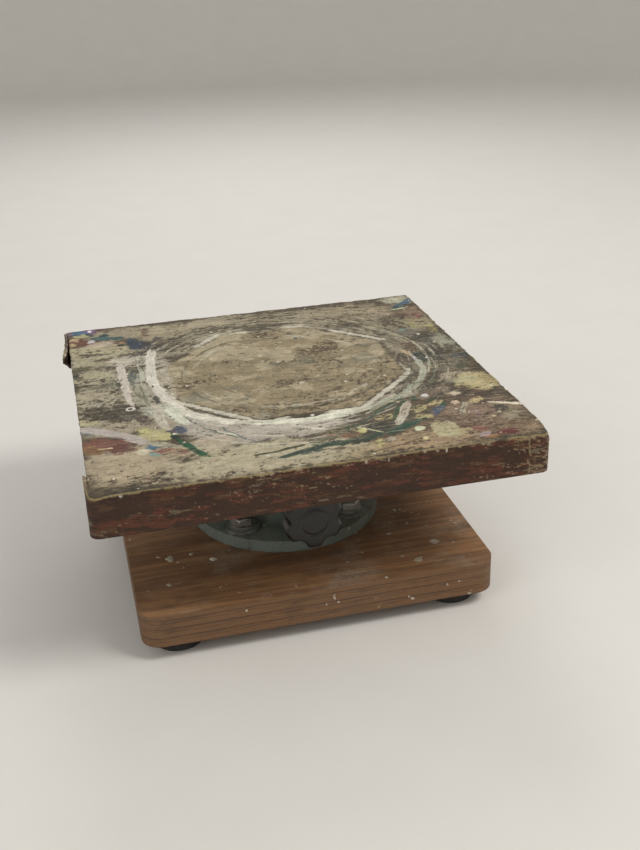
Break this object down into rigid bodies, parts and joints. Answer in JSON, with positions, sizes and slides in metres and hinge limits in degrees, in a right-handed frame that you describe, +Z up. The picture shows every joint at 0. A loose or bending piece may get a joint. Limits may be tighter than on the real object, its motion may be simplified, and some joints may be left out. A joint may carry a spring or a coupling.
{
  "type": "sculpting turntable",
  "caption": "Bench turntable for modelling sculpture: a paint-crusted square wooden top that spins on a cast pedestal with a lock knob, over a square wooden base.",
  "frame": {"origin": "on the bench under the spindle axis, at the middle of the four feet", "axes": "+Z up along the spindle, -Y towards the front, where the lock knob is, +X to the right"},
  "size_m": [0.253, 0.25, 0.12],
  "materials": {
    "plywood_top": "worn plywood under layers of paint and plaster",
    "edging": "stained wooden edging with scraped arris",
    "plywood_base": "varnished plywood with paint drips",
    "cast_iron": "hammered enamel on cast iron",
    "spindle_steel": "turned and ground",
    "bearing_steel": "polished",
    "bearing_cage": "pressed",
    "felt": "grey wool felt",
    "fasteners": "zinc plated, dulled",
    "brass": "turned",
    "knob_plastic": "moulded phenolic",
    "rubber": "matt"
  },
  "bodies": {
    "base": {"base_board": "plywood_base", "pedestal_bolts": "fasteners", "bolt_washers": "fasteners", "nut_washers": "fasteners", "pedestal_nuts": "fasteners", "rubber_feet": "rubber", "foot_washers": "fasteners", "foot_screws": "fasteners", "pedestal": "cast_iron", "radial_outer_ring": "bearing_steel", "bearing_circlip": "fasteners", "thrust_lower_race": "bearing_steel", "felt_seal": "felt"},
    "head": {"turntable_board": "plywood_top", "edge_band": "edging", "board_screws": "fasteners", "head_flange": "cast_iron", "head_pin": "fasteners", "spindle": "spindle_steel", "thrust_upper_race": "bearing_steel", "radial_inner_ring": "bearing_steel", "tab_washer": "fasteners", "spindle_nut": "fasteners"},
    "thrust_set": {"thrust_cage": "bearing_cage", "thrust_balls": "bearing_steel"},
    "radial_set": {"radial_cage": "bearing_cage", "radial_balls": "bearing_steel"},
    "shoe": {"brake_shoe": "brass"},
    "lock": {"lock_screw": "fasteners", "knob_insert": "brass", "lock_knob": "knob_plastic"}
  },
  "joints": [
    {"name": "head_spin", "type": "hinge", "parent": "base", "child": "head", "pos_m": [0, 0, 0.09], "axis": [0, 0, 1], "continuous": true},
    {"name": "thrust_set_orbit", "type": "hinge", "parent": "base", "child": "thrust_set", "pos_m": [0, 0, 0.077], "axis": [0, 0, 1], "continuous": true},
    {"name": "radial_set_orbit", "type": "hinge", "parent": "base", "child": "radial_set", "pos_m": [0, 0, 0.0495], "axis": [0, 0, 1], "continuous": true},
    {"name": "shoe_travel", "type": "slide", "parent": "base", "child": "shoe", "axis": [0, 1, 0], "range_m": [0, 0.001]},
    {"name": "lock_turn", "type": "hinge", "parent": "shoe", "child": "lock", "pos_m": [0, -0.066, 0.0635], "axis": [0, 1, 0], "range_deg": [0, 288]}
  ],
  "couplings": [
    {"joint": "thrust_set_orbit", "follows": "head_spin", "ratio": 0.5},
    {"joint": "radial_set_orbit", "follows": "head_spin", "ratio": 0.38},
    {"joint": "lock_turn", "follows": "shoe_travel", "rad_per_m": 5026.5}
  ]
}
